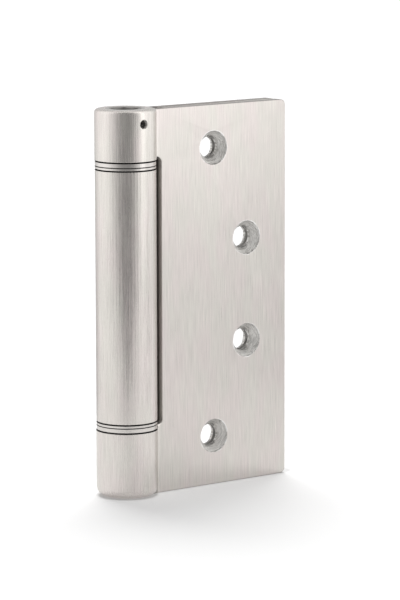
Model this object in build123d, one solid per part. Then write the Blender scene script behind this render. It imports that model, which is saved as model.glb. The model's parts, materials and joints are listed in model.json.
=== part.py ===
from build123d import *
import os
from math import atan, cos, degrees, pi, radians, sin, sqrt, tan

# A single-action spring hinge, closed and standing on its end. Millimetres, +Z up along the
# pivot axis. The origin is on that axis at the flat lower end of the barrel. The frame leaf
# runs towards +X in front of the axis plane, and the door leaf is its mirror image behind it.

# Leaves
leaf_height = 114.3
leaf_reach = 57.15
leaf_thickness = 3.4
closed_gap = 1.2
leaf_corner_radius = 1.7
leaf_edge_break = 0.25
cutout_gap = 1.0
cutout_corner_radius = 1.5
cutout_relief = 0.5
cutout_step = 1.0
washer_side_gap = 0.3

# Screw holes, two zigzag pairs in each leaf
screw_hole_radius = 3.2
countersink_radius = 5.1
countersink_angle = 82.0
countersink_sink = 0.4
lower_hole_margin = 14.7
upper_hole_margin = 12.8
inner_hole_spacing = 31.1
outer_hole_inset = 27.6
inner_hole_inset = 15.1

# Rolled knuckles of the frame leaf and rolled barrel of the door leaf
barrel_radius = 9.0
knuckle_step = 0.1
lower_knuckle_height = 19.65
upper_knuckle_height = 15.05
knuckle_overhang = 0.5
seam_width = 0.25
crease_radius = 0.4
top_rounding = 1.1
bottom_rounding = 2.6
rounding_flat_count = 3

# Thrust washers, a thick and a thin one between the barrel and each knuckle, flush with the
# barrel
thick_washer = 1.2
thin_washer = 0.7
washer_gap = 0.15
end_gap = 0.4

# Named clearances
running_clearance = 0.05
press_clearance = 0.02
washer_bore_clearance = 0.1

# How far a cutting shape runs past the face that it opens
cut_overrun = 1.0

# Bushes, pivot pin and plug
bush_wall = 1.53
bush_length = 8.0
plug_floor = 4.0
pin_lead_chamfer = 0.4

# Adjusting head, its socket, its ring of pin holes, its retaining ring and its arbor
socket_wall = 1.65
socket_depth = 6.5
socket_rim = 0.75
pin_hole_radius = 1.35
pin_hole_count = 6
pin_hole_drop = 4.1
ring_thickness = 0.8
ring_wall_gap = 0.4
ring_groove_depth = 0.7
ring_opening = 60.0
arbor_seat_depth = 9.0

# Winding driver and spring anchor
driver_wall_gap = 0.3
driver_length = 6.0
driver_pin_radius = 0.8
driver_pin_inset = 0.2
anchor_length = 7.0
arbor_tip_gap = 0.6

# Torsion spring, wound left-handed so that opening the door tightens it
wire_radius = 1.15
coil_wall_gap = 0.35
coil_arbor_gap = 0.65
coil_turns = 11
steps_per_turn = 12
wire_flat_count = 8
leg_bend_step_count = 4
leg_bend_radius = 2.4
leg_depth = 4.0
leg_clearance = 0.15
leg_end_gap = 0.3
coil_face_gap = 0.2

# Derived faces of the leaves, measured along Y from the axis plane
leaf_front = -(closed_gap / 2 + leaf_thickness)
leaf_back = -closed_gap / 2

# Derived places of the screw holes: the inner pair stands midway between the outer pair
outer_hole_spacing = leaf_height - lower_hole_margin - upper_hole_margin
hole_pattern_height = lower_hole_margin + outer_hole_spacing / 2

# Derived stack of levels along the pivot axis, from the bottom up
barrel_top = leaf_height + knuckle_overhang
lower_washers_base = lower_knuckle_height + end_gap
lower_thin_base = lower_washers_base + thick_washer + washer_gap
sleeve_base = lower_thin_base + thin_washer + end_gap
upper_knuckle_base = barrel_top - upper_knuckle_height
upper_thick_base = upper_knuckle_base - end_gap - thick_washer
upper_thin_base = upper_thick_base - washer_gap - thin_washer
sleeve_top = upper_thin_base - end_gap

# Derived levels of the parts inside the barrel
lower_bush_top = sleeve_base + bush_length
anchor_top = lower_bush_top + anchor_length
upper_bush_base = sleeve_top - bush_length
ring_top = upper_bush_base - end_gap
neck_end = ring_top - ring_thickness - end_gap - ring_thickness
driver_base = neck_end - driver_length
arbor_seat = neck_end + arbor_seat_depth

# Derived bores: the sheet is rolled round, so each bore is the outside less the sheet
knuckle_radius = barrel_radius + knuckle_step
knuckle_bore = knuckle_radius - leaf_thickness
barrel_bore = barrel_radius - leaf_thickness
cutout_reach = barrel_radius + cutout_gap

# Derived radii of the pieces inside the bores, from the wall inwards
journal_radius = barrel_bore - press_clearance - bush_wall - running_clearance
head_radius = knuckle_bore - running_clearance
socket_apothem = head_radius - socket_wall
socket_mouth_radius = head_radius - socket_rim
ring_radius = barrel_bore - ring_wall_gap
driver_radius = barrel_bore - driver_wall_gap
coil_radius = barrel_bore - coil_wall_gap - wire_radius
arbor_radius = coil_radius - wire_radius - coil_arbor_gap


def ring_solid(outer, inner, base, top):
    """A plain ring about the pivot axis."""
    ring = Cylinder(outer, top - base, align=(Align.CENTER, Align.CENTER, Align.MIN))
    hole = disc_solid(inner, base - cut_overrun, top + cut_overrun)
    return Pos(0, 0, base) * ring - hole


def disc_solid(radius, base, top):
    """A plain cylinder about the pivot axis."""
    return Pos(0, 0, base) * Cylinder(
        radius, top - base, align=(Align.CENTER, Align.CENTER, Align.MIN)
    )


def block(low, high):
    """A box between two opposite corners."""
    size = [b - a for a, b in zip(low, high)]
    return Pos(*low) * Box(*size, align=(Align.MIN, Align.MIN, Align.MIN))


def rim_edges(shape, radius, level):
    """The full circular edges of one radius at one level of a turned piece."""
    found = []
    for edge in shape.edges().filter_by(GeomType.CIRCLE):
        middle = edge.arc_center
        same_level = abs(middle.Z - level) < 1e-6
        if same_level and abs(edge.radius - radius) < 1e-6 and abs(middle.X) + abs(middle.Y) < 1e-6:
            found.append(edge)
    return found


def rim_cutter(radius, level, size, upward, flat_count):
    """The ring taken off the rim at one end of a cylinder.

    One flat makes a chamfer, and several make a rounding. upward says which way the end faces.
    """
    side = 1 if upward else -1
    outline = [
        (radius - size, level + side * cut_overrun),
        (radius + cut_overrun, level + side * cut_overrun),
        (radius + cut_overrun, level - side * size),
    ]
    for flat in range(flat_count + 1):
        turn = pi / 2 * flat / flat_count
        inset = size * (1 - cos(turn))
        drop = size * (1 - sin(turn))
        outline.append((radius - inset, level - side * drop))
    return revolve(Plane.XZ * make_face(Polyline(*outline, close=True)), Axis.Z)


def crease_fillet(radius, base, top):
    """The small concave rounding where a rolled knuckle runs into its leaf's front face."""
    centre_y = leaf_front - crease_radius
    centre_x = sqrt((radius + crease_radius) ** 2 - centre_y**2)
    share = radius / (radius + crease_radius)
    on_knuckle = (centre_x * share, centre_y * share)
    inside = leaf_front + crease_radius / 2
    outline = Polyline(
        on_knuckle,
        (on_knuckle[0] - crease_radius / 2, inside),
        (centre_x, inside),
        (centre_x, leaf_front),
        close=True,
    )
    section = make_face(outline) - Pos(centre_x, centre_y) * Circle(crease_radius)
    return Pos(0, 0, base) * extrude(section, top - base)


def rolled_knuckle(radius, bore, base, top):
    """A length of sheet rolled into a tube, with the slit where its end meets the leaf."""
    tube = ring_solid(radius, bore, base, top) + crease_fillet(radius, base, top)
    slit = block(
        (bore / 2, leaf_back, base - cut_overrun),
        (radius + cut_overrun, leaf_back + seam_width, top + cut_overrun),
    )
    return tube - slit


def sheet_edge_cutter(radius, level, size, upward, flat_count):
    """A rim cutter that stops where the tube runs on into its leaf."""
    leaf_side = block((0, leaf_front - crease_radius, 0), (leaf_reach, leaf_back, leaf_height))
    return rim_cutter(radius, level, size, upward, flat_count) - leaf_side


def leaf_plate(notches):
    """A flat leaf with rounded free corners. notches are the level spans cut away at the root."""
    root = knuckle_bore / 2
    outline = block((root, leaf_front, 0), (leaf_reach, leaf_back, leaf_height))
    for low, high in notches:
        notch = block(
            (root - cut_overrun, leaf_front - cut_overrun, low),
            (cutout_reach, leaf_back + cut_overrun, high),
        )
        outline -= notch
    corners = []
    for edge in outline.edges().filter_by(Axis.Y):
        middle = edge.center()
        if middle.X > leaf_reach - 1e-6:
            corners.append(edge)
    outline = fillet(corners, leaf_corner_radius)
    inner_corners = []
    for edge in outline.edges().filter_by(Axis.Y):
        middle = edge.center()
        inside_height = 1e-6 < middle.Z < leaf_height - 1e-6
        if abs(middle.X - cutout_reach) < 1e-6 and inside_height:
            inner_corners.append(edge)
    outline = fillet(inner_corners, cutout_corner_radius)
    faces = outline.faces().filter_by(Axis.Y)
    rims = [edge for face in faces for edge in face.outer_wire().edges()]
    free = [edge for edge in rims if edge.center().X > cutout_reach - cutout_corner_radius]
    return chamfer(free, leaf_edge_break)


def screw_cutters():
    """The four countersunk screw holes of a leaf, opening towards its front face."""
    depth = (countersink_radius - screw_hole_radius) / tan(radians(countersink_angle / 2))
    through = Cylinder(screw_hole_radius, 2 * (leaf_thickness + cut_overrun))
    mouth = Cone(
        screw_hole_radius,
        countersink_radius,
        depth,
        align=(Align.CENTER, Align.CENTER, Align.MAX),
    )
    sunk = Pos(0, 0, -countersink_sink) * mouth
    cutter = through + sunk + disc_solid(countersink_radius, -countersink_sink, cut_overrun)
    cutters = []
    for spacing, inset in (
        (outer_hole_spacing, outer_hole_inset),
        (inner_hole_spacing, inner_hole_inset),
    ):
        for side in (-1, 1):
            place = Pos(leaf_reach - inset, leaf_front, hole_pattern_height + side * spacing / 2)
            cutters.append(place * Rot(90, 0, 0) * cutter)
    return cutters


def make_frame_leaf():
    """The frame leaf: one sheet with an upper and a lower knuckle and the tension pin's hole."""
    cutout_floor = lower_knuckle_height + cutout_step
    leaf = leaf_plate([(cutout_floor, upper_knuckle_base + cutout_relief)])
    leaf -= disc_solid(knuckle_bore, -cut_overrun, barrel_top + cut_overrun)
    washer_way = barrel_radius + washer_side_gap
    leaf -= disc_solid(washer_way, lower_knuckle_height, cutout_floor + cutout_corner_radius)
    leaf += rolled_knuckle(knuckle_radius, knuckle_bore, 0, lower_knuckle_height)
    upper = rolled_knuckle(knuckle_radius, knuckle_bore, upper_knuckle_base, barrel_top)
    above_leaf = block(
        (0, -leaf_reach, leaf_height), (leaf_reach, leaf_reach, barrel_top + cut_overrun)
    ) - disc_solid(knuckle_radius, leaf_height - cut_overrun, barrel_top + 2 * cut_overrun)
    leaf += upper - above_leaf
    leaf -= sheet_edge_cutter(knuckle_radius, barrel_top, top_rounding, True, rounding_flat_count)
    leaf -= sheet_edge_cutter(knuckle_radius, 0, bottom_rounding, False, rounding_flat_count)
    for cutter in screw_cutters():
        leaf -= cutter
    pin_hole = Cylinder(
        pin_hole_radius,
        knuckle_radius + cut_overrun,
        align=(Align.CENTER, Align.CENTER, Align.MIN),
    )
    return leaf - Pos(0, 0, barrel_top - pin_hole_drop) * Rot(90, 0, 0) * pin_hole


def make_door_leaf():
    """The door leaf: one sheet with the long middle barrel, a mirror image of the frame leaf."""
    below = (-cut_overrun, sleeve_base)
    above = (sleeve_top, leaf_height + cut_overrun)
    leaf = leaf_plate([below, above])
    leaf -= disc_solid(barrel_bore, -cut_overrun, barrel_top + cut_overrun)
    leaf += rolled_knuckle(barrel_radius, barrel_bore, sleeve_base, sleeve_top)
    for cutter in screw_cutters():
        leaf -= cutter
    return leaf.mirror(Plane.XZ)


def make_washer(base, thickness):
    """A turned thrust washer, loose on the pin or the journal that it rides on."""
    bore = journal_radius + washer_bore_clearance
    return ring_solid(barrel_radius, bore, base, base + thickness)


def make_bush(base):
    """A plain bearing bush pressed into an end of the middle barrel."""
    outer = barrel_bore - press_clearance
    return ring_solid(outer, journal_radius + running_clearance, base, base + bush_length)


def make_lower_plug():
    """The plug that fills the lower knuckle and holds the pivot pin, flat at its foot."""
    plug = disc_solid(knuckle_bore - press_clearance, 0, lower_knuckle_height)
    mouth = lower_knuckle_height + cut_overrun
    return plug - disc_solid(journal_radius + press_clearance, plug_floor, mouth)


def make_pivot_pin():
    """The pin on which the lower end of the door leaf's barrel turns."""
    top = lower_bush_top - end_gap
    pin = disc_solid(journal_radius, plug_floor, top)
    return chamfer(rim_edges(pin, journal_radius, top), pin_lead_chamfer)


def make_adjusting_head():
    """The turned head that winds the spring, with its socket, pin holes and grooved journal."""
    groove_base = ring_top - ring_thickness
    head = disc_solid(head_radius, upper_knuckle_base, barrel_top)
    head += disc_solid(journal_radius, neck_end, upper_knuckle_base)
    head -= disc_solid(arbor_radius + press_clearance, neck_end - cut_overrun, arbor_seat)
    head -= ring_solid(
        journal_radius + cut_overrun, journal_radius - ring_groove_depth, groove_base, ring_top
    )
    hexagon = RegularPolygon(socket_apothem, 6, major_radius=False)
    socket = extrude(hexagon, socket_depth + cut_overrun)
    head -= Pos(0, 0, barrel_top - socket_depth) * socket
    mouth = Cone(
        socket_apothem,
        socket_mouth_radius,
        (socket_mouth_radius - socket_apothem) / 2,
        align=(Align.CENTER, Align.CENTER, Align.MAX),
    )
    head -= Pos(0, 0, barrel_top) * mouth
    drill = Cylinder(
        pin_hole_radius, 2 * head_radius, align=(Align.CENTER, Align.CENTER, Align.MIN)
    )
    level = barrel_top - pin_hole_drop
    for step in range(pin_hole_count):
        turn = 360 * step / pin_hole_count
        head -= Pos(0, 0, level) * Rot(0, 0, turn) * Rot(90, 0, 0) * drill
    return head


def make_arbor():
    """The rod pressed into the head, which carries the winding driver at its middle."""
    arbor = disc_solid(arbor_radius, lower_bush_top + arbor_tip_gap, arbor_seat)
    cross_hole = Cylinder(driver_pin_radius + press_clearance, 4 * arbor_radius)
    return arbor - Pos(0, 0, driver_base + driver_length / 2) * Rot(0, 90, 0) * cross_hole


def make_retaining_ring():
    """The open spring ring that keeps the head from lifting out of the barrel."""
    inner = journal_radius - ring_groove_depth + running_clearance
    base = ring_top - ring_thickness + press_clearance
    ring = ring_solid(ring_radius, inner, base, ring_top - press_clearance)
    half = radians(ring_opening / 2)
    reach = 2 * ring_radius
    mouth = make_face(
        Polyline(
            (0, 0),
            (reach * cos(half), reach * sin(half)),
            (reach * cos(half), -reach * sin(half)),
            close=True,
        )
    )
    return ring - Pos(0, 0, base - cut_overrun) * extrude(mouth, ring_thickness + 2 * cut_overrun)


def leg_notch(face, inward):
    """The open groove in a driver or an anchor that takes one straight leg of the spring.

    face is the level of the mouth, and inward is +1 or -1 along Z into the piece.
    """
    half = wire_radius + leg_clearance
    depth = leg_depth + leg_end_gap
    floor = coil_radius - half
    levels = sorted((face - inward * cut_overrun, face + inward * depth))
    return block((floor, -half, levels[0]), (barrel_radius, half, levels[1]))


def leg_turn(inward):
    """The angle about the axis at which a leg leaves the coil, in degrees from the coil's end."""
    sweep = degrees(atan(coil_pitch / (2 * pi * coil_radius)))
    arc = leg_bend_radius * (1 - sin(radians(sweep)))
    return -inward * degrees(arc / coil_radius)


# Derived levels and pitch of the coil between its two legs
coil_low = anchor_top + leg_bend_radius + coil_face_gap
coil_high = driver_base - leg_bend_radius - coil_face_gap
coil_pitch = (coil_high - coil_low) / coil_turns


def leg_points(end_level, tip_level, inward):
    """The points of one leg, from beside the coil's end to its tip.

    The bend is a quarter circle drawn on the coil's own cylinder and rolled round it.
    inward is -1 for the lower leg, which points down, and +1 for the upper one.
    """
    slope = atan(coil_pitch / (2 * pi * coil_radius))
    points = []
    for step in range(1, leg_bend_step_count + 1):
        turn = slope + (pi / 2 - slope) * step / leg_bend_step_count
        along = leg_bend_radius * (sin(turn) - sin(slope))
        rise = leg_bend_radius * (cos(slope) - cos(turn))
        angle = -inward * along / coil_radius
        level = end_level + inward * rise
        points.append((coil_radius * cos(angle), coil_radius * sin(angle), level))
    points.append((points[-1][0], points[-1][1], tip_level))
    return points


def make_torsion_spring():
    """The left-hand torsion spring, with one straight leg along the axis at each end."""
    coil = []
    for step in range(coil_turns * steps_per_turn + 1):
        turns = step / steps_per_turn
        angle = -2 * pi * turns
        level = coil_low + coil_pitch * turns
        coil.append((coil_radius * cos(angle), coil_radius * sin(angle), level))
    lower = leg_points(coil_low, anchor_top - leg_depth, -1)
    upper = leg_points(coil_high, driver_base + leg_depth, 1)
    path = Polyline(*lower[::-1], *coil, *upper)
    section = Plane(origin=lower[-1]) * RegularPolygon(wire_radius, wire_flat_count)
    return sweep(section, path=path, transition=Transition.RIGHT)


def make_spring_anchor():
    """The plug pressed into the barrel that holds the spring's lower leg."""
    outer = barrel_bore - press_clearance
    bore = arbor_radius + 2 * running_clearance
    anchor = ring_solid(outer, bore, lower_bush_top, anchor_top)
    return anchor - Rot(0, 0, leg_turn(-1)) * leg_notch(anchor_top, -1)


def make_winding_driver():
    """The collar on the arbor that turns the spring's upper leg."""
    driver = ring_solid(driver_radius, arbor_radius + press_clearance, driver_base, neck_end)
    driver -= Rot(0, 0, leg_turn(1)) * leg_notch(driver_base, 1)
    cross_hole = Cylinder(driver_pin_radius + press_clearance, 4 * driver_radius)
    return driver - Pos(0, 0, driver_base + driver_length / 2) * Rot(0, 90, 0) * cross_hole


def make_driver_pin():
    """The cross pin that locks the driver to the arbor."""
    pin = Cylinder(driver_pin_radius, 2 * (driver_radius - driver_pin_inset))
    return Pos(0, 0, driver_base + driver_length / 2) * Rot(0, 90, 0) * pin


nodes = {
    "frame_leaf": make_frame_leaf(),
    "door_leaf": make_door_leaf(),
    "lower_plug": make_lower_plug(),
    "pivot_pin": make_pivot_pin(),
    "lower_thick_washer": make_washer(lower_washers_base, thick_washer),
    "lower_thin_washer": make_washer(lower_thin_base, thin_washer),
    "upper_thin_washer": make_washer(upper_thin_base, thin_washer),
    "upper_thick_washer": make_washer(upper_thick_base, thick_washer),
    "lower_bush": make_bush(sleeve_base),
    "upper_bush": make_bush(upper_bush_base),
    "spring_anchor": make_spring_anchor(),
    "torsion_spring": make_torsion_spring(),
    "winding_driver": make_winding_driver(),
    "driver_pin": make_driver_pin(),
    "retaining_ring": make_retaining_ring(),
    "adjusting_head": make_adjusting_head(),
    "arbor": make_arbor(),
}

os.makedirs("parts", exist_ok=True)
for name, shape in nodes.items():
    export_step(shape, f"parts/{name}.step")
    print(name, "solids", len(shape.solids()), "volume", round(shape.volume, 2))
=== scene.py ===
"""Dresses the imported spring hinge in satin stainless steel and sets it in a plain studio."""

import json
import logging
import math
from dataclasses import dataclass, field
from enum import Enum
from typing import Any

import bmesh
import bpy
import numpy as np
from mathutils import Matrix, Vector

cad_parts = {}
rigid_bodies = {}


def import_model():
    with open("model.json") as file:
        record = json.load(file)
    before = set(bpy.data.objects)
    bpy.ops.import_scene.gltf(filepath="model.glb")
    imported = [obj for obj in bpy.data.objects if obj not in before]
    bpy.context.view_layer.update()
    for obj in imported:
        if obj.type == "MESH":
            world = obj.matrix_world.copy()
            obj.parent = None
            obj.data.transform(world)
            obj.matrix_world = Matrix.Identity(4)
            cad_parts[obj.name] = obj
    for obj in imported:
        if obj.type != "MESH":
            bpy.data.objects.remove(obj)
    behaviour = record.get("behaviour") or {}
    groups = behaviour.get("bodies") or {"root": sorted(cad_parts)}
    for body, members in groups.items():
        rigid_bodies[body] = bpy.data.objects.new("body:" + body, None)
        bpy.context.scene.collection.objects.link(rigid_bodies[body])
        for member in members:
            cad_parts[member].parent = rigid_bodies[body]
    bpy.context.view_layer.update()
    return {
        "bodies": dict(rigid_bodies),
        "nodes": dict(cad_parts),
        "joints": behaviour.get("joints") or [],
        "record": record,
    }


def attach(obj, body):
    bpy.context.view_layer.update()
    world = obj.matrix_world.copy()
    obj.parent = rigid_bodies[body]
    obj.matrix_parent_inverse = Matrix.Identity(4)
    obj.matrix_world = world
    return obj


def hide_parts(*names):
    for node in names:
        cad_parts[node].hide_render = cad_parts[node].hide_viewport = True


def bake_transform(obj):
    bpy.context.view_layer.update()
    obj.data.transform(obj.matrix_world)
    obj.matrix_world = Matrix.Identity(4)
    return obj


Triple = tuple[float, float, float]
Span = tuple[float, float]
Socket = bpy.types.NodeSocket

LOG = logging.getLogger("spring_hinge")
SHEET_COLUMN, SHEET_ROW, SHEET_ROWS = 180, 160, 5
VECTOR_SOCKETS = ("Point", "Rounded")
MEASURES = ("DOT_PRODUCT", "DISTANCE", "LENGTH")
FINE_SHARE = 0.6


class Run(Enum):
    """Which way a bore runs."""

    ALONG_Y = "across the leaf"
    ALONG_Z = "along the pivot axis"


class Lay(Enum):
    """Which way the tool that finished a piece has run over it."""

    ALONG_PIVOT = "brushed along the pivot axis"
    ROUND_PIVOT = "turned about the pivot axis"
    DRAWN = "drawn and left plain"


@dataclass(frozen=True)
class SteelFinish:
    """One metal finish of the hinge, with lengths in metres.

    The colour goes from dark to pale with the tool's grooves, the broader bands between them
    and a slow drift. streak_strength is the part that the grooves and bands have in it, and
    groove_share is the grooves' part of those two. The roughness goes with the grooves alone.
    """

    name: str
    pale: Triple
    dark: Triple
    roughness: float
    roughness_spread: float
    groove_width: float
    groove_length: float
    groove_depth: float
    edge_radius: float
    edge_shine: float = 0.3
    streak_strength: float = 0.7
    lay: Lay = Lay.ROUND_PIVOT
    anisotropy: float = 0.0
    groove_share: float = 0.72
    bump_strength: float = 0.6


@dataclass(frozen=True)
class ToolMarks:
    """How noise is read for the marks of a tool.

    The grooves' point is multiplied by bands for the broader bands, and drift is the scale per
    metre of the slow drift. Each span is the stretch of noise that becomes 0 to 1.
    """

    bands: Triple
    drift: float
    mark_span: Span = (0.25, 0.75)
    drift_span: Span = (0.3, 0.7)


@dataclass(frozen=True)
class EdgeWear:
    """The bright rubbed edges: from what lean of the rounded normal on, and in what patches."""

    lean: Span = (0.02, 0.22)
    patches: float = 420.0
    patch_detail: float = 3.0
    patch_span: Span = (0.25, 0.7)
    paler: float = 1.12
    smoother: float = 0.06
    bevel_samples: int = 6


@dataclass(frozen=True)
class SteelTint:
    """The tall soft patches in which the steel drifts between a rosy and a greenish grey."""

    squeeze: Triple = (1.0, 1.0, 0.35)
    scale: float = 190.0
    detail: float = 1.0
    span: Span = (0.3, 0.7)
    rosy: Triple = (1.012, 0.990, 1.004)
    greenish: Triple = (0.990, 1.008, 0.996)


@dataclass(frozen=True)
class LeafZones:
    """How a leaf's flat and its cut faces differ from its smoother rolled knuckles.

    The flat fades in where the roll ends. Faces whose normal lies in the leaf's own plane are
    the cut ones, and of these the upper and lower ones are darkened by painted shade. Beside the
    barrel, up to slot_end, the cut face is rough, and its deeper part, where the barrel keeps the
    light out, is darkened by painted shade that fades out towards the front face. A pair of
    lengths is the stretch over which a zone fades.
    """

    flat_start: Span = (0.0080, 0.0100)
    cut_start: float = 0.0090
    slot_end: float = 0.0125
    # Where the painted shade deep in the slot fades out, by distance from the leaf's middle plane.
    slot_shade_edge: Span = (0.0026, 0.0029)
    edgewise: float = 0.5
    level: float = 0.7
    flat_tone: Triple = (0.93, 0.93, 0.93)
    # Painted shade on the upper and lower cut faces.
    end_shade_tone: Triple = (0.66, 0.66, 0.66)
    # The painted shade deep in the slot beside the barrel.
    slot_shade_tone: Triple = (0.35, 0.34, 0.33)
    flat_roughness: float = 0.04
    cut_roughness: float = 0.12
    slot_roughness: float = 0.20


@dataclass(frozen=True)
class ScrewHoles:
    """Where the countersunk holes of a leaf are, for the turned marks in their cones.

    A pair is given by its distance from the pivot axis and by its holes' height above and below
    the middle one.
    """

    middle_height: float = 0.0581
    outer_pair: Span = (0.02955, 0.0434)
    inner_pair: Span = (0.04205, 0.01555)
    rim_radius: float = 0.0051


@dataclass(frozen=True)
class CutterMarks:
    """What the countersink cutter leaves in a cone and on its rim.

    The chatter turns by slant radians over the cone's radius. along_radius, round_hole and
    with_height are the scales of its noise. The rim's lip rises and falls over shares of the
    radius and is painted brighter in patches: a painted highlight on a worn rim.
    """

    slant: float = 9.0
    along_radius: float = 13.0
    round_hole: float = 8.0
    with_height: float = 700.0
    detail: float = 3.0
    span: Span = (0.41, 0.57)
    dark: Triple = (0.54, 0.525, 0.50)
    pale: Triple = (1.0, 0.985, 0.96)
    roughness: float = 0.38
    roughness_spread: float = 0.14
    depth: float = 7.0
    lip_rise: Span = (0.975, 1.0)
    lip_fall: Span = (1.02, 1.06)
    lip_patches: float = 260.0
    lip_span: Span = (0.42, 0.62)
    lip_highlight_colour: Triple = (0.97, 0.96, 0.95)
    lip_highlight_strength: float = 0.8


@dataclass(frozen=True)
class BoreShade:
    """Painted shade on a bore, a socket or a seam between running faces, or painted light on a
    hole's mouth.

    The centre's middle value is ignored for one along Y, and its last one for one along Z. low
    and high are the ends of the shaded stretch. Where it is blackened, it is painted black, dull
    and without metal sheen as painted shade, and the steel under it isn't seen.
    """

    run: Run
    centre: Triple
    radius: float
    low: float
    high: float
    colour: Triple = (0.02, 0.019, 0.018)
    blackened_shade: bool = True
    # The roughness where the stretch is painted black as shade, and that of bare cut steel.
    black_shade_roughness: float = 0.95
    cut_roughness: float = 0.8


PIN_HOLE = (Run.ALONG_Y, (0.0, 0.0, 0.1107), 0.00139)
PIVOT_LINE = (Run.ALONG_Z, (0.0, 0.0, 0.0))
# The tension hole's inner wall, darkened as painted shade.
TENSION_HOLE = BoreShade(*PIN_HOLE, -0.0080, -0.0056, (0.30, 0.29, 0.28), False)
# The tension hole's outer wall, paler as painted light, with the roughness of bare cut steel.
TENSION_MOUTH = BoreShade(*PIN_HOLE, -0.00897, -0.0080, (0.92, 0.90, 0.87), False)
# The head's pin holes behind the tension hole, painted black as painted shade.
HEAD_BORES = BoreShade(*PIN_HOLE, -0.0056, 0.0056)
# The key socket in the adjusting head, darkened as painted shade.
KEY_SOCKET = BoreShade(*PIVOT_LINE, 0.00494, 0.1060, 0.11476, (0.40, 0.385, 0.37), False)

# The heights that each seam between knuckle, washers and barrel spans, with the rims on both
# sides of it. These are painted black as painted shade.
SEAM_RADIUS = 0.0094
SEAM_SPANS = (
    (0.01961, 0.02009),
    (0.02117, 0.02148),
    (0.02206, 0.02254),
    (0.09686, 0.09734),
    (0.09792, 0.09823),
    (0.09931, 0.09979),
)
SEAM_SHADES = tuple(BoreShade(*PIVOT_LINE, SEAM_RADIUS, *span) for span in SEAM_SPANS)

BELT_MARKS = ToolMarks(bands=(0.4, 0.4, 0.8), drift=22.0)
LATHE_MARKS = ToolMarks(bands=(0.3, 0.3, 0.3), drift=60.0)

SATIN_LEAF = SteelFinish(
    name="satin_leaf_steel",
    lay=Lay.ALONG_PIVOT,
    pale=(0.775, 0.730, 0.692),
    dark=(0.560, 0.530, 0.503),
    roughness=0.28,
    roughness_spread=0.10,
    groove_width=0.00020,
    groove_length=0.009,
    groove_depth=0.000010,
    streak_strength=0.85,
    edge_radius=0.00022,
    edge_shine=0.25,
    anisotropy=0.35,
)
TURNED_WASHER = SteelFinish(
    name="turned_washer_steel",
    pale=(0.72, 0.685, 0.655),
    dark=(0.56, 0.535, 0.51),
    roughness=0.19,
    roughness_spread=0.08,
    groove_width=0.00012,
    groove_length=0.020,
    groove_depth=0.000010,
    edge_radius=0.00012,
)
TURNED_STEEL = SteelFinish(
    name="turned_head_steel",
    pale=(0.52, 0.50, 0.48),
    dark=(0.36, 0.35, 0.34),
    roughness=0.32,
    roughness_spread=0.12,
    groove_width=0.00018,
    groove_length=0.015,
    groove_depth=0.000014,
    edge_radius=0.00015,
)
BEARING_BRONZE = SteelFinish(
    name="bearing_bronze",
    pale=(0.66, 0.47, 0.25),
    dark=(0.52, 0.36, 0.19),
    roughness=0.36,
    roughness_spread=0.14,
    groove_width=0.00016,
    groove_length=0.012,
    groove_depth=0.000012,
    streak_strength=0.6,
    edge_radius=0.00015,
    edge_shine=0.2,
)
OILED_WIRE = SteelFinish(
    name="oiled_spring_wire",
    lay=Lay.DRAWN,
    pale=(0.36, 0.35, 0.34),
    dark=(0.22, 0.22, 0.23),
    roughness=0.34,
    roughness_spread=0.16,
    groove_width=0.00040,
    groove_length=0.0012,
    groove_depth=0.000008,
    streak_strength=0.5,
    edge_radius=0.0001,
    edge_shine=0.1,
)


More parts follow.
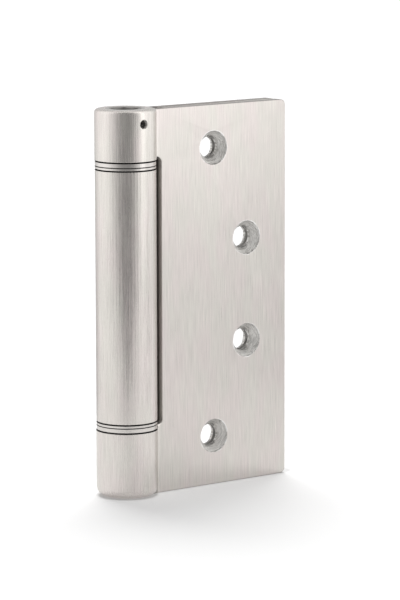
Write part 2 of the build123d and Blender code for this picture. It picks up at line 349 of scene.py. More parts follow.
class NodeSheet:
    """Short ways to place and join nodes on one node tree."""

    def __init__(self, tree: bpy.types.NodeTree) -> None:
        """Starts on a node tree."""
        self.tree = tree
        self.column = 0

    def place(self, kind: str, **settings: Any) -> bpy.types.Node:
        """Adds a node to the right of the last one.

        Args:
            kind: The node's Blender type name.
            **settings: Properties to set on it.

        Returns:
            The new node.
        """
        node = self.tree.nodes.new(kind)
        node.location = (self.column * SHEET_COLUMN, -(self.column % SHEET_ROWS) * SHEET_ROW)
        self.column += 1
        for name, value in settings.items():
            setattr(node, name, value)
        return node

    def put(self, kind: str, values: dict[str, Any] | None = None, **settings: Any) -> Any:
        """Adds a node and feeds its inputs by name.

        Args:
            kind: The node's Blender type name.
            values: Input names and what feeds them.
            **settings: Properties to set on it.

        Returns:
            The node's outputs.
        """
        node = self.place(kind, **settings)
        for name, value in (values or {}).items():
            self.feed(node.inputs[name], value)
        return node.outputs

    def feed(self, socket: Socket, value: Any) -> None:
        """Links an output to a socket, or sets the socket to a plain value.

        Args:
            socket: The socket.
            value: An output, a number, or three numbers for a vector or a full colour.
        """
        if isinstance(value, Socket):
            self.tree.links.new(value, socket)
        elif socket.type == "RGBA":
            socket.default_value = (*value, 1.0)
        else:
            socket.default_value = value

    def fill(self, node: bpy.types.Node, values: tuple, output: str) -> Socket:
        """Feeds a node's inputs in order.

        Args:
            node: The node.
            values: What feeds its first inputs, as sockets or plain values.
            output: The name of the output that is wanted.

        Returns:
            That output.
        """
        for socket, value in zip(node.inputs, values):
            self.feed(socket, value)
        return node.outputs[output]

    def math(self, operation: str, *values: Any, clamp: bool = False) -> Socket:
        """Works out a number from others, kept between 0 and 1 where clamp is set."""
        node = self.place("ShaderNodeMath", operation=operation, use_clamp=clamp)
        return self.fill(node, values, "Value")

    def times(self, first: Any, second: Any, clamp: bool = False) -> Socket:
        """Multiplies two numbers, kept between 0 and 1 where clamp is set."""
        return self.math("MULTIPLY", first, second, clamp=clamp)

    def root_of_squares(self, first: Any, second: Any) -> Socket:
        """Works out the length of the longest side from the two sides at a right angle."""
        squares = self.math("ADD", self.times(first, first), self.times(second, second))
        return self.math("SQRT", squares)

    def vector(self, operation: str, *values: Any) -> Socket:
        """Works out a vector, or the number that the operation measures."""
        node = self.place("ShaderNodeVectorMath", operation=operation)
        return self.fill(node, values, "Value" if operation in MEASURES else "Vector")

    def point(self, x: Any, y: Any, z: Any) -> Socket:
        """Joins three numbers into a vector."""
        return self.fill(self.place("ShaderNodeCombineXYZ"), (x, y, z), "Vector")

    def parts(self, vector: Any) -> tuple[Socket, ...]:
        """Splits a vector into its X, Y and Z."""
        return tuple(self.put("ShaderNodeSeparateXYZ", {"Vector": vector}))

    def noise(self, vector: Any, scale: float = 1.0, detail: float = 2.0) -> Socket:
        """Reads smooth noise at a point.

        Args:
            vector: The point.
            scale: What the point is multiplied by first.
            detail: How many finer layers it has, each FINE_SHARE as strong as the last.

        Returns:
            A number from 0 to 1.
        """
        values = {"Vector": vector, "Scale": scale, "Detail": detail, "Roughness": FINE_SHARE}
        return self.put("ShaderNodeTexNoise", values)["Fac"]

    def between(self, value: Any, low: float, high: float) -> Socket:
        """Rises smoothly from 0 where a value is low to 1 where it is high."""
        node = self.place("ShaderNodeMapRange", interpolation_type="SMOOTHSTEP")
        return self.fill(node, (value, low, high), "Result")

    def blend(self, factor: Any, first: Any, second: Any, how: str = "MIX") -> Socket:
        """Mixes two colours.

        Args:
            factor: How much of the second one there is, from 0 to 1.
            first: The first colour.
            second: The second colour.
            how: The way in which the second is laid on the first, as Blender names it.

        Returns:
            The mixed colour.
        """
        node = self.place("ShaderNodeMix", data_type="RGBA", blend_type=how)
        self.feed(node.inputs["Factor"], factor)
        colours = [socket for socket in node.inputs if socket.type == "RGBA"]
        for socket, value in zip(colours, (first, second)):
            self.feed(socket, value)
        return next(socket for socket in node.outputs if socket.type == "RGBA")

    def pick(self, factor: Any, first: Any, second: Any) -> Socket:
        """Mixes two numbers by a factor."""
        kept = self.times(first, self.math("SUBTRACT", 1.0, factor))
        return self.math("ADD", kept, self.times(second, factor))

    def group(self, tree: bpy.types.NodeTree, values: dict[str, Any]) -> Any:
        """Places a node group with its own values and gives its outputs."""
        return self.put("ShaderNodeGroup", values, node_tree=tree)

    def emission(self, strength: Any) -> Socket:
        """Gives a white glow of some strength."""
        return self.put("ShaderNodeEmission", {"Strength": strength})["Emission"]

    def show(self, shader: Any, kind: str = "ShaderNodeOutputMaterial") -> None:
        """Joins a shader to the tree's surface output."""
        self.put(kind, {"Surface": shader})


def clear_sheet(owner: bpy.types.Material | bpy.types.World) -> NodeSheet:
    """Empties the node tree of a material or a world.

    Args:
        owner: The material or the world.

    Returns:
        The tree's sheet.
    """
    owner.use_nodes = True
    owner.node_tree.nodes.clear()
    return NodeSheet(owner.node_tree)


def stand(name: str, data: Any) -> bpy.types.Object:
    """Makes an object and puts it into the scene.

    Args:
        name: Its name.
        data: Its mesh, camera or light.

    Returns:
        The object.
    """
    made = bpy.data.objects.new(name, data)
    bpy.context.scene.collection.objects.link(made)
    return made


def unit_rows(rows: np.ndarray) -> np.ndarray:
    """Divides each row by its own length."""
    return rows / np.linalg.norm(rows, axis=1, keepdims=True)


def new_group(name: str, inputs: tuple[str, ...], outputs: tuple[str, ...]) -> tuple:
    """Makes an empty shader node group.

    Args:
        name: The group's name.
        inputs: The names of what comes in: numbers, apart from those in VECTOR_SOCKETS.
        outputs: The names of the numbers that go out.

    Returns:
        The group, its sheet, the sockets that bring what comes in, and those for what goes out.
    """
    group = bpy.data.node_groups.new(name, "ShaderNodeTree")
    for label in inputs:
        kind = "NodeSocketVector" if label in VECTOR_SOCKETS else "NodeSocketFloat"
        group.interface.new_socket(label, in_out="INPUT", socket_type=kind)
    for label in outputs:
        group.interface.new_socket(label, in_out="OUTPUT", socket_type="NodeSocketFloat")
    sheet = NodeSheet(group)
    given, sink = sheet.place("NodeGroupInput").outputs, sheet.place("NodeGroupOutput").inputs
    return group, sheet, given, sink


class FinishShop:
    """Makes the shared node groups once, and each finish's material from them."""

    TOOL_SOCKETS = (("Point", "Width", "Length"), ("Groove", "Band", "Drift"))

    def __init__(self) -> None:
        """Builds the groups that every finish uses."""
        self.worn = EdgeWear()
        self.cutter = CutterMarks()
        self.grain = self.make_grain()
        self.rings = self.make_rings()
        self.wear = self.make_wear()
        self.cones = self.make_cones()
        self.made: dict[str, bpy.types.Material] = {}

    def make_grain(self) -> bpy.types.NodeTree:
        """Builds the fine straight grooves that a brushing belt leaves along Z.

        Noise is read at a point whose X and Y are divided by the groove's width and whose Z is
        divided by its length, so each blob of noise becomes one long thin groove.

        Returns:
            The node group.
        """
        group, sheet, given, sink = new_group("brushed_grain", *self.TOOL_SOCKETS)
        across = sheet.math("DIVIDE", 1.0, given["Width"])
        along = sheet.math("DIVIDE", 1.0, given["Length"])
        point = sheet.vector("MULTIPLY", given["Point"], sheet.point(across, across, along))
        self.lay_marks(sheet, given["Point"], point, sink, BELT_MARKS)
        return group

    def make_rings(self) -> bpy.types.NodeTree:
        """Builds the rings that a cutting tool leaves round the Z axis.

        Noise is read at a point made of the distance from the axis and the height, both
        divided by the ring's width, and of the place round the axis divided by its length.

        Returns:
            The node group.
        """
        group, sheet, given, sink = new_group("turned_rings", *self.TOOL_SOCKETS)
        x, y, z = sheet.parts(given["Point"])
        out = sheet.math("DIVIDE", sheet.root_of_squares(x, y), given["Width"])
        up = sheet.math("DIVIDE", z, given["Width"])
        round_x = sheet.math("DIVIDE", x, given["Length"])
        round_y = sheet.math("DIVIDE", y, given["Length"])
        point = sheet.point(sheet.math("ADD", out, round_x), round_y, up)
        self.lay_marks(sheet, given["Point"], point, sink, LATHE_MARKS)
        return group

    @staticmethod
    def lay_marks(sheet: NodeSheet, place: Any, point: Any, sink: Any, marks: ToolMarks) -> None:
        """Reads the noise for a tool's grooves, bands and drift and sends it out of the group.

        Args:
            sheet: The group's sheet.
            place: The point on the surface.
            point: The same point, stretched for the grooves.
            sink: The sockets for what goes out.
            marks: How the noise is read.
        """
        bands = sheet.vector("MULTIPLY", point, marks.bands)
        drift = sheet.noise(place, marks.drift)
        sheet.feed(sink["Groove"], sheet.between(sheet.noise(point), *marks.mark_span))
        sheet.feed(sink["Band"], sheet.between(sheet.noise(bands), *marks.mark_span))
        sheet.feed(sink["Drift"], sheet.between(drift, *marks.drift_span))

    def make_wear(self) -> bpy.types.NodeTree:
        """Builds the mask of the edges that handling has rubbed bright.

        Close to an edge the rounded normal leans away from the surface's own one, so one less
        their dot product rises there.

        Returns:
            The node group.
        """
        group, sheet, given, sink = new_group("edge_wear", ("Rounded", "Point"), ("Edge",))
        normal = sheet.put("ShaderNodeNewGeometry")["Normal"]
        dot = sheet.vector("DOT_PRODUCT", given["Rounded"], normal)
        edge = sheet.between(sheet.math("SUBTRACT", 1.0, dot, clamp=True), *self.worn.lean)
        patches = sheet.noise(given["Point"], self.worn.patches, self.worn.patch_detail)
        patchy = sheet.between(patches, *self.worn.patch_span)
        sheet.feed(sink["Edge"], sheet.times(edge, patchy, clamp=True))
        return group

    def make_cones(self) -> bpy.types.NodeTree:
        """Builds the mask and the cutter marks of one pair of countersunk holes.

        The pair is mirrored about its middle height by taking the height's absolute value, so
        one centre serves both. The distance from that centre gives the mask and the rings, and
        slanted lines across the rings are the chatter of the cutter.

        Returns:
            The node group.
        """
        group, sheet, given, sink = new_group(
            "countersink_marks",
            ("Point", "Inset", "Offset", "Middle", "Rim"),
            ("Inside", "Mark", "Lip"),
        )
        cutter = self.cutter
        x, _, z = sheet.parts(given["Point"])
        height = sheet.math("SUBTRACT", z, given["Middle"])
        side = sheet.math("SUBTRACT", x, given["Inset"])
        rise = sheet.math("SUBTRACT", sheet.math("ABSOLUTE", height), given["Offset"])
        share = sheet.math("DIVIDE", sheet.root_of_squares(side, rise), given["Rim"])
        angle = sheet.math("ARCTAN2", rise, side)
        slanted = sheet.math("ADD", sheet.times(share, cutter.slant), angle)
        chatter = sheet.point(
            sheet.times(share, cutter.along_radius),
            sheet.times(slanted, cutter.round_hole),
            sheet.times(height, cutter.with_height),
        )
        mark = sheet.between(sheet.noise(chatter, detail=cutter.detail), *cutter.span)
        fallen = sheet.between(share, *cutter.lip_fall)
        ring = sheet.times(
            sheet.between(share, *cutter.lip_rise),
            sheet.math("SUBTRACT", 1.0, fallen),
            clamp=True,
        )
        patches = sheet.noise(given["Point"], cutter.lip_patches)
        sheet.feed(sink["Inside"], sheet.math("LESS_THAN", share, 1.0))
        sheet.feed(sink["Mark"], mark)
        sheet.feed(sink["Lip"], sheet.times(ring, sheet.between(patches, *cutter.lip_span)))
        return group

    def material(
        self,
        finish: SteelFinish,
        holes: ScrewHoles | None = None,
        bores: tuple[BoreShade, ...] = (),
    ) -> bpy.types.Material:
        """Makes a finish's material, or gives the one already made.

        Args:
            finish: The finish.
            holes: The countersunk holes, on a leaf.
            bores: The shaded bores and seams of the piece.

        Returns:
            The material.
        """
        name = finish.name + (f"_{len(bores)}_shades" if bores else "")
        if name in self.made:
            return self.made[name]
        made = bpy.data.materials.new(name)
        coat = SteelCoat(finish, self, clear_sheet(made))
        if coat.brushed:
            coat.tint()
        if holes is not None:
            coat.cut_cones(holes)
        if coat.brushed:
            coat.set_off_flat()
        for bore in bores:
            coat.shade(bore)
        coat.rub_edges()
        coat.apply()
        self.made[name] = made
        return made


class SteelCoat:
    """The colour, roughness and relief of one material, laid on its sheet layer by layer."""

    def __init__(self, finish: SteelFinish, shop: FinishShop, sheet: NodeSheet) -> None:
        """Lays the finish's own grooves, bands and drift.

        Args:
            finish: The finish.
            shop: Where the shared node groups are.
            sheet: The material's empty sheet.
        """
        self.finish, self.shop, self.sheet = finish, shop, sheet
        self.brushed = finish.lay is Lay.ALONG_PIVOT
        self.place = sheet.put("ShaderNodeTexCoord")["Object"]
        values = {"Point": self.place, "Width": finish.groove_width, "Length": finish.groove_length}
        marks = sheet.group(shop.grain if self.brushed else shop.rings, values)
        bevel = {"Radius": finish.edge_radius}
        samples = shop.worn.bevel_samples
        self.rounded = sheet.put("ShaderNodeBevel", bevel, samples=samples)["Normal"]
        groove = marks["Groove"]
        streaks = sheet.math(
            "ADD",
            sheet.times(groove, finish.groove_share),
            sheet.times(marks["Band"], 1.0 - finish.groove_share),
        )
        tone = sheet.math(
            "ADD",
            sheet.times(marks["Drift"], 1.0 - finish.streak_strength),
            sheet.times(streaks, finish.streak_strength),
            clamp=True,
        )
        smoothest = finish.roughness - finish.roughness_spread / 2
        self.colour = sheet.blend(tone, finish.dark, finish.pale)
        self.rough = sheet.math("ADD", smoothest, sheet.times(groove, finish.roughness_spread))
        self.height = groove
        self.bare: Any = 1.0

    def tint(self) -> None:
        """Lets the steel drift between two greys in tall soft patches."""
        tint, sheet = SteelTint(), self.sheet
        squeezed = sheet.vector("MULTIPLY", self.place, tint.squeeze)
        drift = sheet.between(sheet.noise(squeezed, tint.scale, tint.detail), *tint.span)
        hue = sheet.blend(drift, tint.rosy, tint.greenish)
        self.colour = sheet.blend(1.0, self.colour, hue, "MULTIPLY")

    def cut_cones(self, holes: ScrewHoles) -> None:
        """Lays the cutter's marks over the brushing inside the countersunk holes.

        Args:
            holes: Where the holes are.
        """
        cutter, sheet = self.shop.cutter, self.sheet
        for inset, offset in (holes.outer_pair, holes.inner_pair):
            values = {
                "Point": self.place,
                "Inset": inset,
                "Offset": offset,
                "Middle": holes.middle_height,
                "Rim": holes.rim_radius,
            }
            cone = sheet.group(self.shop.cones, values)
            inside, mark = cone["Inside"], cone["Mark"]
            cut = sheet.blend(mark, cutter.dark, cutter.pale)
            self.colour = sheet.blend(inside, self.colour, cut)
            # The bright ring round each rim is a painted highlight on patchy wear.
            lip = sheet.times(cone["Lip"], cutter.lip_highlight_strength)
            self.colour = sheet.blend(lip, self.colour, cutter.lip_highlight_colour)
            rough = sheet.math("MULTIPLY_ADD", mark, cutter.roughness_spread, cutter.roughness)
            self.rough = sheet.pick(inside, self.rough, rough)
            self.height = sheet.pick(inside, self.height, sheet.times(mark, cutter.depth))

    def set_off_flat(self) -> None:
        """Sets the leaf's flat and its cut faces off from the rolled knuckles, partly by painted
        shade.
        """
        zones, sheet = LeafZones(), self.sheet
        x, y, _ = sheet.parts(self.place)
        normal = sheet.put("ShaderNodeTexCoord")["Normal"]
        lean_y, lean_z = (sheet.math("ABSOLUTE", lean) for lean in sheet.parts(normal)[1:])
        flat = sheet.between(x, *zones.flat_start)
        cut = sheet.times(
            sheet.math("LESS_THAN", lean_y, zones.edgewise),
            sheet.math("GREATER_THAN", x, zones.cut_start),
        )
        # The upper and lower cut faces get painted shade.
        ends = sheet.times(cut, sheet.math("GREATER_THAN", lean_z, zones.level))
        slot = sheet.times(cut, sheet.math("LESS_THAN", x, zones.slot_end))
        # The deeper part of the slot's cut face, where the barrel keeps the light out, gets painted
        # shade.
        unshaded = sheet.between(sheet.math("ABSOLUTE", y), *zones.slot_shade_edge)
        slot_shade = sheet.times(slot, sheet.math("SUBTRACT", 1.0, unshaded))
        tones = ((flat, zones.flat_tone), (ends, zones.end_shade_tone), (slot_shade, zones.slot_shade_tone))
        for mask, tone in tones:
            self.colour = sheet.blend(mask, self.colour, tone, "MULTIPLY")
        coarser = (
            (flat, zones.flat_roughness),
            (cut, zones.cut_roughness),
            (slot, zones.slot_roughness),
        )
        for mask, more in coarser:
            self.rough = sheet.math("ADD", self.rough, sheet.times(mask, more))

    def shade(self, bore: BoreShade) -> None:
        """Paints shade, or light, on what is near a bore's axis and between its two ends.

        Args:
            bore: The bore.
        """
        sheet = self.sheet
        along_y = bore.run is Run.ALONG_Y
        flat = (1.0, 0.0, 1.0) if along_y else (1.0, 1.0, 0.0)
        centre = tuple(value * keep for value, keep in zip(bore.centre, flat))
        away = sheet.vector("DISTANCE", sheet.vector("MULTIPLY", self.place, flat), centre)
        level = sheet.parts(self.place)[1 if along_y else 2]
        near = sheet.math("LESS_THAN", away, bore.radius)
        above = sheet.math("GREATER_THAN", level, bore.low)
        below = sheet.math("LESS_THAN", level, bore.high)
        inside = sheet.times(near, sheet.times(above, below))
        wall = bore.black_shade_roughness if bore.blackened_shade else bore.cut_roughness
        self.colour = sheet.blend(inside, self.colour, bore.colour)
        self.rough = sheet.pick(inside, self.rough, wall)
        # Painted black shade also takes away the metal sheen.
        if bore.blackened_shade:
            self.bare = sheet.pick(inside, self.bare, 0.0)

    def rub_edges(self) -> None:
        """Brightens and smooths the edges that handling has rubbed."""
        sheet, worn = self.sheet, self.shop.worn
        wear = sheet.group(self.shop.wear, {"Rounded": self.rounded, "Point": self.place})["Edge"]
        bright = tuple(min(1.0, channel * worn.paler) for channel in self.finish.pale)
        shine = sheet.times(wear, self.finish.edge_shine)
        self.colour = sheet.blend(shine, self.colour, bright)
        rubbed = sheet.times(wear, worn.smoother)
        self.rough = sheet.math("SUBTRACT", self.rough, rubbed, clamp=True)

    def apply(self) -> None:
        """Puts the layers on the shader, whose gloss is drawn out across the brushing."""
        sheet = self.sheet
        relief = {
            "Strength": self.finish.bump_strength,
            "Distance": self.finish.groove_depth,
            "Height": self.height,
            "Normal": self.rounded,
        }
        values = {
            "Anisotropic": self.finish.anisotropy,
            "Metallic": self.bare,
            "Base Color": self.colour,
            "Roughness": self.rough,
            "Normal": sheet.put("ShaderNodeBump", relief)["Normal"],
        }
        if self.brushed:
            normal = sheet.put("ShaderNodeNewGeometry")["Normal"]
            values["Tangent"] = sheet.vector("CROSS_PRODUCT", (0.0, 0.0, 1.0), normal)
        sheet.show(sheet.put("ShaderNodeBsdfPrincipled", values)["BSDF"])


@dataclass
class DressedNode:
    """A CAD node shown by a welded, smoothly shaded copy of its own mesh."""

    node: str
    body: str
    slot: str
    finish: SteelFinish
    holes: ScrewHoles | None = None
    bores: tuple[BoreShade, ...] = ()
    smooth_angle: float = 32.0
    weld_distance: float = 1e-7
    shading_weight: int = 80

    def build(self, frame: dict, shop: FinishShop) -> bpy.types.Object:
        """Copies, welds and dresses the node.

        Args:
            shop: Where the finishes are made.

        Returns:
            The piece that stands for the node.
        """
        mesh = frame["nodes"][self.node].data.copy()
        mesh.name = f"{self.node}_welded"
        self.weld(mesh)
        mesh.materials.clear()
        mesh.materials.append(shop.material(self.finish, self.holes, self.bores))
        piece = stand(f"{self.node}_finished", mesh)
        shade = piece.modifiers.new("even_shading", "WEIGHTED_NORMAL")
        shade.mode = "FACE_AREA"
        shade.weight = self.shading_weight
        shade.keep_sharp = True
        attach(piece, self.body)
        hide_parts(self.node)
        return piece

    def weld(self, mesh: bpy.types.Mesh) -> None:
        """Joins the loose triangles where they touch and marks the edges that stay sharp.

        Args:
            mesh: The copied mesh, which is changed.
        """
        work = bmesh.new()
        work.from_mesh(mesh)
        bmesh.ops.remove_doubles(work, verts=work.verts, dist=self.weld_distance)
        for face in work.faces:
            face.smooth = True
        work.to_mesh(mesh)
        work.free()
        mesh.set_sharp_from_angle(angle=math.radians(self.smooth_angle))
        mesh.update()


@dataclass(frozen=True)
class SpringHalf:
    """One half of the spring, with the bodies listed for its ends below start and above end."""

    name: str
    lower_body: str
    upper_body: str
    start: float
    end: float


@dataclass
class TorsionSpring:
    """The coil spring in the barrel, drawn as round wire with a straight leg at each end.

    Lengths are in metres. The coil climbs clockwise as seen from above.
    """

    coil_radius: float = 0.0041
    wire_radius: float = 0.00115
    turns: int = 11
    anchor_top: float = 0.0375
    driver_base: float = 0.0805
    bend_radius: float = 0.0024
    face_gap: float = 0.0002
    leg_depth: float = 0.0040
    steps_per_turn: int = 40
    bend_steps: int = 10
    leg_steps: int = 4
    wire_sides: int = 14
    sharp_angle: float = 50.0

    def route(self) -> np.ndarray:
        """Works out the wire's middle line.

        The coil is a helix: the angle falls and the height climbs in step. Each leg's bend is a
        quarter circle, drawn on the coil's own cylinder and rolled round it, and then a straight
        run along the axis.

        Returns:
            Points as an array of rows.
        """
        low = self.anchor_top + self.bend_radius + self.face_gap
        high = self.driver_base - self.bend_radius - self.face_gap
        pitch = (high - low) / self.turns
        slope = math.atan(pitch / (2 * math.pi * self.coil_radius))
        share = np.linspace(0.0, 1.0, self.turns * self.steps_per_turn + 1)
        angle = -2 * math.pi * self.turns * share
        level = low + (high - low) * share
        turn = np.linspace(slope, math.pi / 2, self.bend_steps + 1)[1:]
        along = self.bend_radius * (np.sin(turn) - math.sin(slope))
        rise = self.bend_radius * (math.cos(slope) - np.cos(turn))
        leg = np.append(along, np.full(self.leg_steps, along[-1])) / self.coil_radius
        lower = self.leg_levels(low - rise, self.anchor_top - self.leg_depth)
        upper = self.leg_levels(high + rise, self.driver_base + self.leg_depth)
        angles = np.concatenate([leg[::-1], angle, angle[-1] - leg])
        levels = np.concatenate([lower[::-1], level, upper])
        flat = self.coil_radius * np.array([np.cos(angles), np.sin(angles)])
        return np.stack([*flat, levels], axis=1)

    def leg_levels(self, bend: np.ndarray, tip: float) -> np.ndarray:
        """Follows a bend's heights with the even steps of the straight run to the leg's tip."""
        run = np.linspace(0.0, 1.0, self.leg_steps + 1)[1:]
        return np.append(bend, bend[-1] + (tip - bend[-1]) * run)

    def halves(self) -> tuple[SpringHalf, SpringHalf]:
        """Lists the two halves, which meet at the coil's middle.

        Returns:
            The lower half and the upper one.
        """
        middle = (self.anchor_top + self.driver_base) / 2
        clear = self.wire_radius + self.face_gap
        low, high = self.anchor_top + self.bend_radius, self.driver_base - self.bend_radius
        name, frame = "torsion_spring", "frame_side"
        return (
            SpringHalf(f"{name}_lower_half", "door_side", frame, low, middle - clear),
            SpringHalf(f"{name}_upper_half", frame, "winding_side", middle + clear, high),
        )

    def rings(self) -> np.ndarray:
        """Works out the wire's round section at every point of the route.

        At each point the section's first axis points straight out from the pivot axis, which is
        square to the route everywhere on the coil's cylinder, and the second is the cross
        product of the route's direction and the first.

        Returns:
            Points as an array of rings of rows.
        """
        points = self.route()
        ahead = unit_rows(np.gradient(points, axis=0))
        outward = unit_rows(points * np.array([1.0, 1.0, 0.0]))
        aside = unit_rows(np.cross(ahead, outward))
        turn = np.linspace(0.0, 2 * math.pi, self.wire_sides, endpoint=False)
        return (
            points[:, None, :]
            + self.wire_radius * np.cos(turn)[None, :, None] * outward[:, None, :]
            + self.wire_radius * np.sin(turn)[None, :, None] * aside[:, None, :]
        )

    def build(self, shop: FinishShop) -> list[bpy.types.Object]:
        """Builds the wire's two halves.

        Args:
            shop: Where the finishes are made.

        Returns:
            The halves.
        """
        rings = self.rings()
        middle = len(rings) // 2
        parts = (rings[: middle + 1], rings[middle:])
        return [self.half(shop, plan, part) for plan, part in zip(self.halves(), parts)]

    def half(self, shop: FinishShop, plan: SpringHalf, rings: np.ndarray) -> bpy.types.Object:
        """Skins one half's rings and caps both ends.

        Args:
            shop: Where the finishes are made.
            plan: The half's name, bodies and heights.
            rings: Its rings.

        Returns:
            The half.
        """
        count, sides = rings.shape[:2]
        row = np.arange(count - 1)[:, None] * sides
        column = np.arange(sides)[None, :]
        after = (column + 1) % sides
        quads = np.stack([row + column, row + after, row + sides + after, row + sides + column], 2)
        faces = quads.reshape(-1, 4).tolist()
        faces.append(list(range(sides - 1, -1, -1)))
        faces.append(list(range((count - 1) * sides, count * sides)))
        mesh = bpy.data.meshes.new(plan.name)
        mesh.from_pydata(rings.reshape(-1, 3).tolist(), [], faces)
        mesh.polygons.foreach_set("use_smooth", np.ones(len(mesh.polygons), dtype=bool))
        mesh.set_sharp_from_angle(angle=math.radians(self.sharp_angle))
        mesh.update()
        mesh.materials.append(shop.material(OILED_WIRE))
        piece = stand(plan.name, mesh)
        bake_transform(piece)
        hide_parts("torsion_spring")
        return piece


@dataclass
class Hinge:
    """Every piece of the hinge, with the body that it rides on and the finish that it wears."""

    holes: ScrewHoles = field(default_factory=ScrewHoles)

    def pieces(self) -> list[DressedNode]:
        """Lists the CAD nodes that are shown by dressed copies.

        Returns:
            Each node with its body, slot, finish and shades.
        """
        leaf = ("leaf_steel", SATIN_LEAF, self.holes)
        washer = ("frame_side", "washer_steel", TURNED_WASHER)
        turned, bronze = ("turned_steel", TURNED_STEEL), ("bush_bronze", BEARING_BRONZE)
        hole_shades = (TENSION_HOLE, TENSION_MOUTH, *SEAM_SHADES)
        thrust = ("upper_thick", "upper_thin", "lower_thin", "lower_thick")
        return [
            DressedNode("frame_leaf", "frame_side", *leaf, hole_shades),
            DressedNode("door_leaf", "door_side", *leaf, SEAM_SHADES),
            *(DressedNode(f"{name}_washer", *washer, bores=SEAM_SHADES) for name in thrust),
            DressedNode("adjusting_head", "winding_side", *turned, bores=(KEY_SOCKET, HEAD_BORES)),
            DressedNode("arbor", "winding_side", *turned),
            DressedNode("winding_driver", "winding_side", *turned),
            DressedNode("driver_pin", "winding_side", *turned),
            DressedNode("retaining_ring", "winding_side", "spring_wire", OILED_WIRE),
            DressedNode("spring_anchor", "door_side", *turned),
            DressedNode("pivot_pin", "frame_side", *turned),
            DressedNode("lower_plug", "frame_side", *turned),
            DressedNode("upper_bush", "door_side", *bronze),
            DressedNode("lower_bush", "door_side", *bronze),
        ]

    def build(self, frame: dict, shop: FinishShop) -> None:
        """Builds each piece and reports it.

        Args:
            shop: Where the finishes are made.
        """
        made = [piece.build(frame, shop) for piece in self.pieces()]
        made += TorsionSpring().build(shop)
        for piece in made:
            LOG.info("%s: %d faces", piece.name, len(piece.data.polygons))


# How brightly the light tent glows at each angle in degrees, where 0 faces the camera and 90 is
# on the camera's right: low down, and from the studio's high_glow_height up.
LOW_GLOWS = (
    (-180, 0.48), (-146, 0.60), (-112, 1.18), (-80, 1.24),
    (-60, 1.06), (-40, 0.72), (-22, 0.46), (-8, 0.36),
    (16, 0.35), (32, 0.45), (50, 0.82), (66, 1.22),
    (88, 0.76), (108, 1.05), (150, 0.60), (180, 0.48),
)
HIGH_GLOWS = (
    (-180, 0.72), (-150, 0.74), (-112, 1.26), (-80, 1.42),
    (-60, 1.20), (-40, 0.74), (-22, 0.47), (-8, 0.34),
    (16, 0.32), (32, 0.42), (50, 0.94), (66, 1.94),
    (90, 1.22), (108, 1.36), (146, 0.76), (180, 0.72),
)


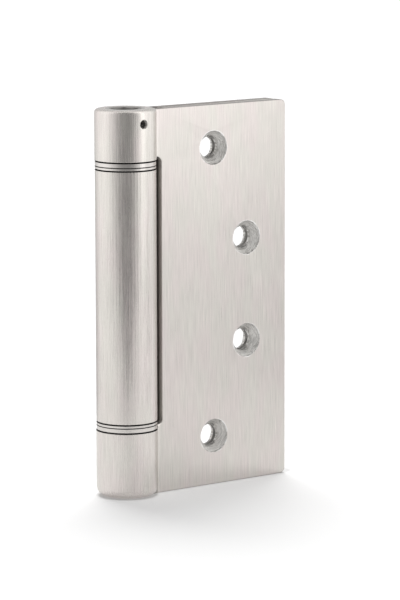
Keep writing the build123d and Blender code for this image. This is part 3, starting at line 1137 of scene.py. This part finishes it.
@dataclass
class Studio:
    """A pale floor, a light tent seen only in reflections, one soft lamp and the camera.

    Angles are in degrees and lengths in metres, but for lens and sensor in millimetres. The
    camera's figures are those of the photograph's own viewpoint. A dent of the tent is its
    middle, its spread and its depth. The leaves' reach and half thickness and the foot's
    radius are those of the closed hinge's outline on the floor.
    """

    azimuth: float = -37.98
    elevation: float = 8.737
    roll: float = -0.137
    distance: float = 1.01524
    aim_height: float = 0.058183
    aim_right: float = 0.02166
    lens: float = 207.3
    sensor: float = 36.0
    clip: Span = (0.01, 50.0)
    floor_reach: float = 8.0
    tent_radius: float = 0.52
    tent_dents: tuple[Triple, ...] = (
        (4.0, 38.0, 0.35),
        (86.0, 30.0, 0.25),
        (180.0, 70.0, 0.31),
        (-140.0, 32.0, 0.17),
    )
    tent_base: float = 0.001
    tent_height: float = 0.70
    tent_steps: int = 144
    low_glow_height: float = 0.0
    high_glow_height: float = 0.11
    key_place: Triple = (0.42, 0.62, 1.0)
    key_strength: float = 2.5
    key_width: float = 46.0
    ambient: float = 0.25
    paper_tone: Triple = (0.80, 0.80, 0.80)
    paper_glow: float = 0.41
    paper_plainness: float = 0.35
    # The painted shade that reflections see towards the foot, and the painted contact shadow at the
    # outline: how far each reaches and the least share of glow there.
    foot_shade_reach: float = 0.018
    foot_shade_glow: float = 0.92
    contact_shadow_reach: float = 0.0013
    contact_shadow_glow: float = 0.38
    leaf_reach: float = 0.05715
    leaves_half: float = 0.0038
    foot_radius: float = 0.0084

    def camera(self) -> None:
        """Places the camera by its direction from the hinge, its distance and its roll."""
        turn, lift = math.radians(self.azimuth), math.radians(self.elevation)
        level = Vector((math.sin(turn), -math.cos(turn), 0.0))
        back = level * math.cos(lift) + Vector((0.0, 0.0, math.sin(lift)))
        right = Vector((math.cos(turn), math.sin(turn), 0.0))
        up = back.cross(right)
        aim = Vector((0.0, 0.0, self.aim_height)) + right * self.aim_right
        lean = math.radians(self.roll)
        side = right * math.cos(lean) + up * math.sin(lean)
        top = up * math.cos(lean) - right * math.sin(lean)
        data = bpy.data.cameras.new("camera")
        data.lens = self.lens
        data.sensor_width = self.sensor
        data.clip_start, data.clip_end = self.clip
        camera = stand("camera", data)
        facing = Matrix((side, top, back)).transposed().to_4x4()
        camera.matrix_world = Matrix.Translation(aim + back * self.distance) @ facing
        bpy.context.scene.camera = camera

    def floor(self) -> None:
        """Lays the white paper, whose upper face is at the hinge's foot.

        It is matt and takes the hinge's shadow, with a glow that brings it up to white and falls
        off at the hinge's outline as a painted contact shadow. Reflections see it partly as plain
        white, which darkens a little towards the foot as painted shade.
        """
        corners = np.array([[-1, -1, 0], [1, -1, 0], [1, 1, 0], [-1, 1, 0]], float)
        mesh = bpy.data.meshes.new("floor")
        mesh.from_pydata((corners * self.floor_reach).tolist(), [], [[0, 1, 2, 3]])
        paper = bpy.data.materials.new("white_paper")
        sheet = clear_sheet(paper)
        matt = sheet.put("ShaderNodeBsdfDiffuse", {"Color": self.paper_tone})["BSDF"]
        away = self.off_the_foot(sheet)
        # The glow falls off at the hinge's outline as a painted contact shadow.
        glow = sheet.times(
            sheet.times(self.seen_plainly(sheet), self.paper_glow),
            self.rising(sheet, away, self.contact_shadow_reach, self.contact_shadow_glow),
        )
        # Plain white for reflections, with painted shade towards the foot.
        plain = self.rising(sheet, away, self.foot_shade_reach, self.foot_shade_glow)
        both = sheet.place("ShaderNodeAddShader")
        lit = sheet.fill(both, (matt, sheet.emission(glow)), "Shader")
        glossy = sheet.put("ShaderNodeLightPath")["Is Glossy Ray"]
        share = sheet.times(glossy, self.paper_plainness)
        mixed = sheet.place("ShaderNodeMixShader")
        sheet.show(sheet.fill(mixed, (share, lit, sheet.emission(plain)), "Shader"))
        mesh.materials.append(paper)
        stand("floor", mesh)

    def off_the_foot(self, sheet: NodeSheet) -> Socket:
        """Measures how far a point of the floor is from the closed hinge's outline.

        It is the smaller of two distances: the one from the pivot axis less the radius of the
        barrel's flat end, and the one from the stretch of the X axis that the leaves cover less
        half their thickness.

        Args:
            sheet: The floor material's sheet.

        Returns:
            The distance in metres.
        """
        place = sheet.put("ShaderNodeTexCoord")["Object"]
        x, y, _ = sheet.parts(place)
        held = sheet.put("ShaderNodeClamp", {"Value": x, "Max": self.leaf_reach})["Result"]
        past = sheet.point(sheet.math("SUBTRACT", x, held), y, 0.0)
        from_leaves = sheet.math("SUBTRACT", sheet.vector("LENGTH", past), self.leaves_half)
        from_axis = sheet.math("SUBTRACT", sheet.vector("LENGTH", place), self.foot_radius)
        return sheet.math("MINIMUM", from_leaves, from_axis)

    @staticmethod
    def rising(sheet: NodeSheet, away: Any, reach: float, least: float) -> Socket:
        """Rises smoothly from the least share at the outline to one at the reach."""
        return sheet.math("MULTIPLY_ADD", sheet.between(away, 0.0, reach), 1.0 - least, least)

    @staticmethod
    def seen_plainly(sheet: NodeSheet) -> Socket:
        """Tells camera, glossy and transmission rays, which show a background, from the rest.

        Args:
            sheet: The sheet of the floor or of the world.

        Returns:
            One on such rays and nothing on others.
        """
        rays = sheet.put("ShaderNodeLightPath")
        shown = sheet.math("MAXIMUM", rays["Is Camera Ray"], rays["Is Glossy Ray"])
        return sheet.math("MAXIMUM", shown, rays["Is Transmission Ray"])

    def tent(self) -> None:
        """Hangs a round light tent about the hinge, which only reflections see.

        Each point of the wall has an angle round the pivot axis and a height from the floor to
        the rim. The wall's distance is the tent's radius less four smooth bell-shaped dents:
        towards the camera, to its right, behind, and behind to the left. The glow follows the
        angle from the camera's side by LOW_GLOWS and HIGH_GLOWS and blends from one to the
        other with the height.
        """
        steps = self.tent_steps
        angle = np.linspace(0.0, 2 * math.pi, steps, endpoint=False)
        reach = np.full(steps, self.tent_radius)
        for middle, spread, depth in self.tent_dents:
            front = math.radians(self.azimuth + middle) - math.pi / 2
            turn = np.angle(np.exp(1j * (angle - front)))
            reach -= depth * np.exp(-((turn / math.radians(spread)) ** 2))
        ring = np.stack([np.cos(angle), np.sin(angle)], axis=1) * reach[:, None]
        low = np.column_stack([ring, np.full(steps, self.tent_base)])
        high = np.column_stack([ring, np.full(steps, self.tent_height)])
        first = np.arange(steps)
        after = (first + 1) % steps
        faces = np.stack([after, first, first + steps, after + steps], axis=1)
        mesh = bpy.data.meshes.new("light_tent")
        mesh.from_pydata(np.vstack([low, high]).tolist(), [], faces.tolist())
        mesh.materials.append(self.cloth())
        tent = stand("light_tent", mesh)
        tent.visible_camera = False
        tent.visible_diffuse = False
        tent.visible_shadow = False
        tent.visible_transmission = False

    def cloth(self) -> bpy.types.Material:
        """Makes the tent's glowing cloth.

        The angle from the camera's side is that of the point's X and Y, turned back by the
        camera's azimuth, and a whole turn of it is spread over each of the two ramps.

        Returns:
            The material.
        """
        cloth = bpy.data.materials.new("tent_cloth")
        sheet = clear_sheet(cloth)
        place = sheet.put("ShaderNodeTexCoord")["Object"]
        turn = {"Vector": place, "Rotation": (0.0, 0.0, -math.radians(self.azimuth))}
        x, y, z = sheet.parts(sheet.put("ShaderNodeMapping", turn)["Vector"])
        around = sheet.math("ARCTAN2", x, sheet.times(y, -1.0))
        share = sheet.math("MULTIPLY_ADD", around, 0.5 / math.pi, 0.5)
        levels = []
        for glows in (LOW_GLOWS, HIGH_GLOWS):
            ramp = sheet.place("ShaderNodeValToRGB")
            self.glow_round(ramp.color_ramp, glows)
            levels.append(sheet.fill(ramp, (share,), "Color"))
        rise = sheet.between(z, self.low_glow_height, self.high_glow_height)
        glow = {"Color": sheet.blend(rise, *levels)}
        sheet.show(sheet.put("ShaderNodeEmission", glow)["Emission"])
        return cloth

    @staticmethod
    def glow_round(ramp: bpy.types.ColorRamp, glows: tuple[Span, ...]) -> None:
        """Sets a ramp to the glow at each angle.

        Args:
            ramp: The ramp, which is changed.
            glows: Angles in degrees, in rising order from -180 to 180, and the glow at each.
        """
        ramp.interpolation = "EASE"
        while len(ramp.elements) > 1:
            ramp.elements.remove(ramp.elements[-1])
        for index, (angle, glow) in enumerate(glows):
            position = (angle + 180.0) / 360.0
            element = ramp.elements[0] if index == 0 else ramp.elements.new(position)
            element.position = position
            element.color = (glow, glow, glow, 1.0)

    def lamp(self) -> None:
        """Lights the paper evenly from behind the hinge, so that its shadow falls to the front."""
        data = bpy.data.lights.new("soft_key", "SUN")
        data.energy = self.key_strength
        data.angle = math.radians(self.key_width)
        lamp = stand("soft_key", data)
        lamp.location = self.key_place
        lamp.rotation_euler = (-Vector(self.key_place)).to_track_quat("-Z", "Y").to_euler()
        lamp.visible_glossy = False

    def world(self) -> None:
        """Sets a white background, which is dimmer where it lights what is matt."""
        world = bpy.data.worlds.new("studio")
        bpy.context.scene.world = world
        sheet = clear_sheet(world)
        seen = self.seen_plainly(sheet)
        strength = sheet.math("MULTIPLY_ADD", seen, 1.0 - self.ambient, self.ambient)
        white = {"Color": (1.0, 1.0, 1.0), "Strength": strength}
        sky = sheet.put("ShaderNodeBackground", white)["Background"]
        sheet.show(sky, "ShaderNodeOutputWorld")

    def build(self) -> None:
        """Sets up the whole studio."""
        self.camera()
        self.floor()
        self.tent()
        self.lamp()
        self.world()
        bpy.context.scene.view_settings.view_transform = "Standard"


def main() -> None:
    """Loads the frame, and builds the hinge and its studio."""
    logging.basicConfig(level=logging.INFO, format="%(name)s %(message)s")
    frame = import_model()
    shop = FinishShop()
    Hinge().build(frame, shop)
    Studio().build()


if __name__ == "__main__":
    main()
